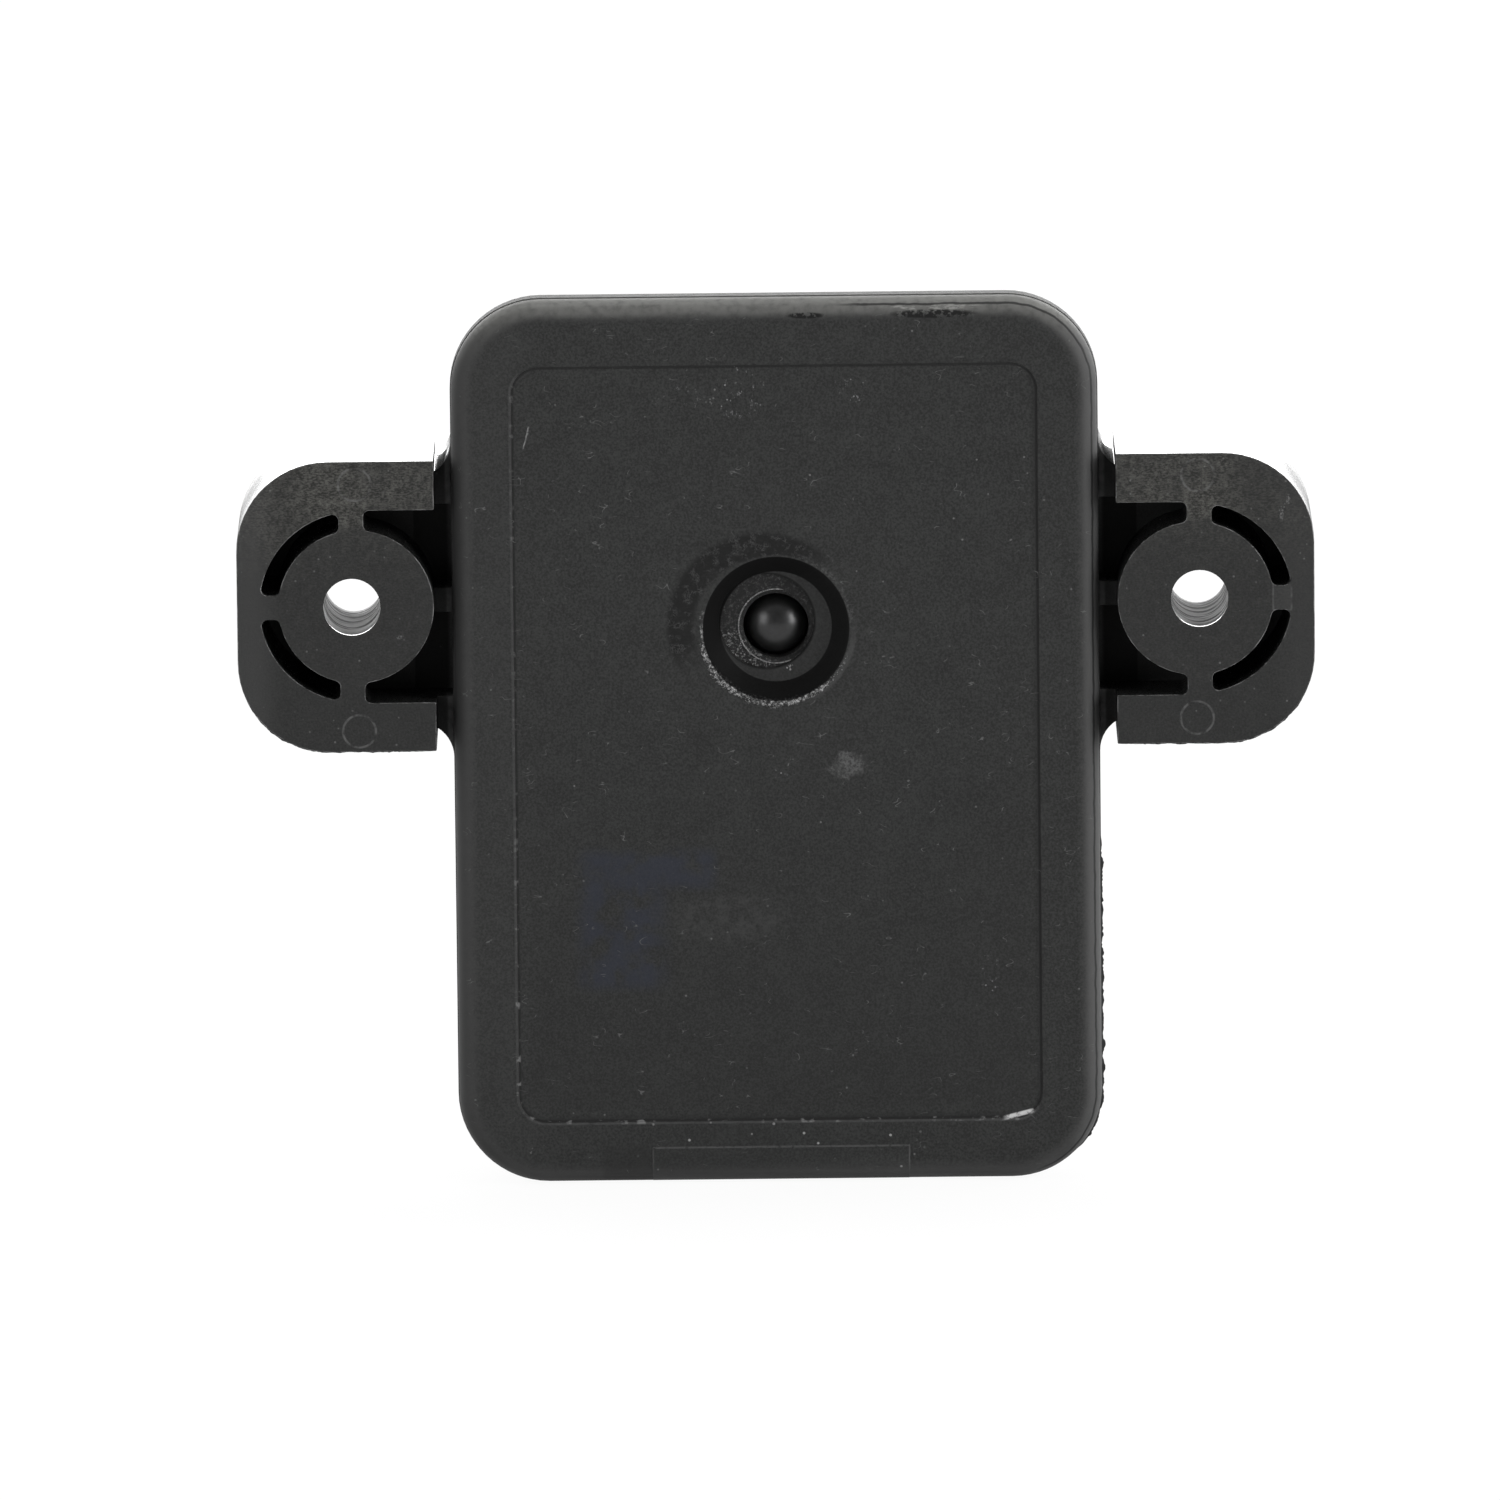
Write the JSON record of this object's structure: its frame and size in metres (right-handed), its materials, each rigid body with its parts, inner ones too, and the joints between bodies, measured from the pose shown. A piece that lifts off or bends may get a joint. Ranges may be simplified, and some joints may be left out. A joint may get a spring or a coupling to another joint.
{
  "type": "manifold absolute pressure sensor",
  "caption": "Black plastic manifold pressure sensor with bolt ears, a sealed back cover with a pressed-in ball, a hose nipple and a downward connector.",
  "frame": {"origin": "midway between the two bolt holes, on the plane of the ear pads that bolt against the bracket", "axes": "+X runs along the ears, +Z points away from the connector, and +Y runs from the back cover towards the hose nipple"},
  "size_m": [0.105, 0.0297, 0.0876],
  "materials": {
    "housing_plastic": "moulded black glass-filled plastic",
    "cover_plastic": "moulded black glass-filled plastic, satin face",
    "seal_adhesive": "cured black adhesive",
    "ball_steel": "polished, dark",
    "board_laminate": "solder mask over laminate",
    "chip_plastic": "moulded epoxy",
    "lead_tin": "tinned",
    "resistor_body": "printed, glazed",
    "capacitor_body": "fired ceramic",
    "reservoir_body": "moulded resin",
    "cell_ceramic": "fired alumina",
    "cap_steel": "drawn",
    "die_silicon": "polished",
    "bond_gold": "rolled ribbon",
    "gel_silicone": "clear soft gel",
    "gasket_rubber": "moulded",
    "filter_bronze": "sintered",
    "terminal_metal": "tinned strip",
    "potting_resin": "poured and cured",
    "solder_tin": "reflowed"
  },
  "bodies": {
    "root": {"housing": "housing_plastic", "back_cover": "cover_plastic", "cover_seal": "seal_adhesive", "sealing_ball": "ball_steel", "circuit_board": "board_laminate", "amplifier_chip": "chip_plastic", "amplifier_leads": "lead_tin", "trim_resistors": "resistor_body", "filter_capacitors": "capacitor_body", "reservoir_capacitor": "reservoir_body", "surge_diode": "chip_plastic", "cell_base": "cell_ceramic", "cell_cap": "cap_steel", "cell_leads": "lead_tin", "pressure_die": "die_silicon", "bond_ribbons": "bond_gold", "die_gel": "gel_silicone", "port_gasket": "gasket_rubber", "port_filter": "filter_bronze", "terminal_ground": "terminal_metal", "terminal_signal": "terminal_metal", "terminal_supply": "terminal_metal", "terminal_potting": "potting_resin", "terminal_solder": "solder_tin"}
  },
  "joints": []
}
